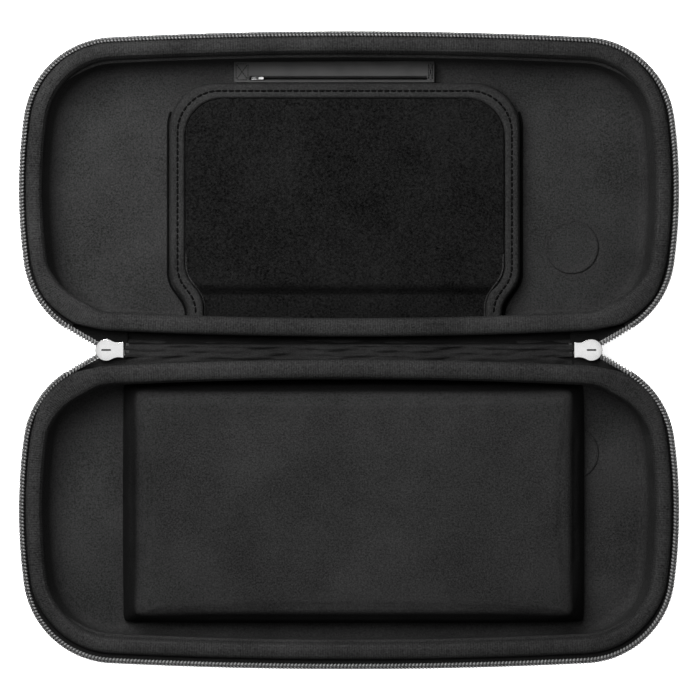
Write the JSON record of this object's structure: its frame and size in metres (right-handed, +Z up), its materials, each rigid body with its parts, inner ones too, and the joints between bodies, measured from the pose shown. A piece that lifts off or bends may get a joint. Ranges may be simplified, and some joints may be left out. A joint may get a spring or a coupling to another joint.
{
  "type": "zipped hard carrying case",
  "caption": "Zip-up moulded carrying case lying open and flat, with a folding fabric spine, a raised insert in the base and a padded zip pocket in the lid.",
  "frame": {"origin": "on the resting surface, under the middle of the hinge between the two halves", "axes": "+X along the hinge, +Y towards the lid, +Z up"},
  "size_m": [0.3116, 0.3012, 0.0299],
  "materials": {
    "shell_fabric": "woven fabric laminated to moulded foam",
    "lining": "brushed knit",
    "binding": "knitted elastic",
    "insert_fabric": "brushed knit over foam",
    "plush": "short plush",
    "spine_fabric": "plain weave",
    "facing": "smooth coated fabric",
    "foam": "closed-cell foam",
    "zip_tape": "woven tape",
    "zip_coil": "glossy nylon monofilament",
    "slider_metal": "bright nickel plating",
    "badge": "matte, blank"
  },
  "bodies": {
    "base": {"base_shell": "shell_fabric", "base_liner": "lining", "base_rim_binding": "binding", "base_zip_tape": "zip_tape", "base_zip_coil": "zip_coil", "base_hinge_hem": "shell_fabric", "base_badge": "badge", "base_disc": "lining", "insert_cover": "insert_fabric", "insert_foam": "foam"},
    "spine": {"spine_lining": "spine_fabric", "spine_core": "foam", "spine_outer": "shell_fabric", "chain_tail_left": "zip_coil", "chain_tail_right": "zip_coil", "zip_stop_left": "slider_metal", "zip_stop_right": "slider_metal"},
    "lid": {"lid_shell": "shell_fabric", "lid_liner": "lining", "lid_rim_binding": "binding", "lid_zip_tape": "zip_tape", "lid_zip_coil": "zip_coil", "lid_hinge_hem": "shell_fabric", "lid_badge": "badge", "lid_disc": "lining", "pocket_backing": "lining", "pocket_frame": "binding", "pocket_panel": "plush", "pocket_zip_facing": "facing", "pocket_zip_tape": "zip_tape", "pocket_zip_coil": "zip_coil"},
    "slider_left": {"slider_body_left": "slider_metal", "slider_bridge_left": "slider_metal"},
    "slider_right": {"slider_body_right": "slider_metal", "slider_bridge_right": "slider_metal"},
    "pull_left": {"slider_pull_left": "slider_metal"},
    "pull_right": {"slider_pull_right": "slider_metal"},
    "pocket_slider": {"pocket_slider_body": "slider_metal", "pocket_slider_bridge": "slider_metal"},
    "pocket_tab": {"pocket_pull": "slider_metal"}
  },
  "joints": [
    {"name": "spine_fold", "type": "hinge", "parent": "base", "child": "spine", "pos_m": [0, -0.00505, 0.02495], "axis": [1, 0, 0], "range_deg": [0, 90]},
    {"name": "lid_fold", "type": "hinge", "parent": "spine", "child": "lid", "pos_m": [0, 0.00505, 0.02495], "axis": [1, 0, 0], "range_deg": [0, 90]},
    {"name": "slider_left_travel", "type": "slide", "parent": "spine", "child": "slider_left", "axis": [-1, 0, 0], "range_m": [0, 0.005]},
    {"name": "slider_right_travel", "type": "slide", "parent": "spine", "child": "slider_right", "axis": [1, 0, 0], "range_m": [0, 0.005]},
    {"name": "pull_left_swing", "type": "hinge", "parent": "slider_left", "child": "pull_left", "pos_m": [-0.1136, 0, 0.019], "axis": [0, 1, 0], "range_deg": [-90, 90]},
    {"name": "pull_right_swing", "type": "hinge", "parent": "slider_right", "child": "pull_right", "pos_m": [0.1136, 0, 0.019], "axis": [0, 1, 0], "range_deg": [-90, 90]},
    {"name": "pocket_zip_travel", "type": "slide", "parent": "lid", "child": "pocket_slider", "axis": [1, 0, 0], "range_m": [0, 0.078]},
    {"name": "pocket_pull_flip", "type": "hinge", "parent": "pocket_slider", "child": "pocket_tab", "pos_m": [-0.0453, 0.1301, 0.01075], "axis": [0, -1, 0], "range_deg": [0, 180]}
  ],
  "couplings": [
    {"joint": "lid_fold", "follows": "spine_fold", "ratio": 1}
  ]
}
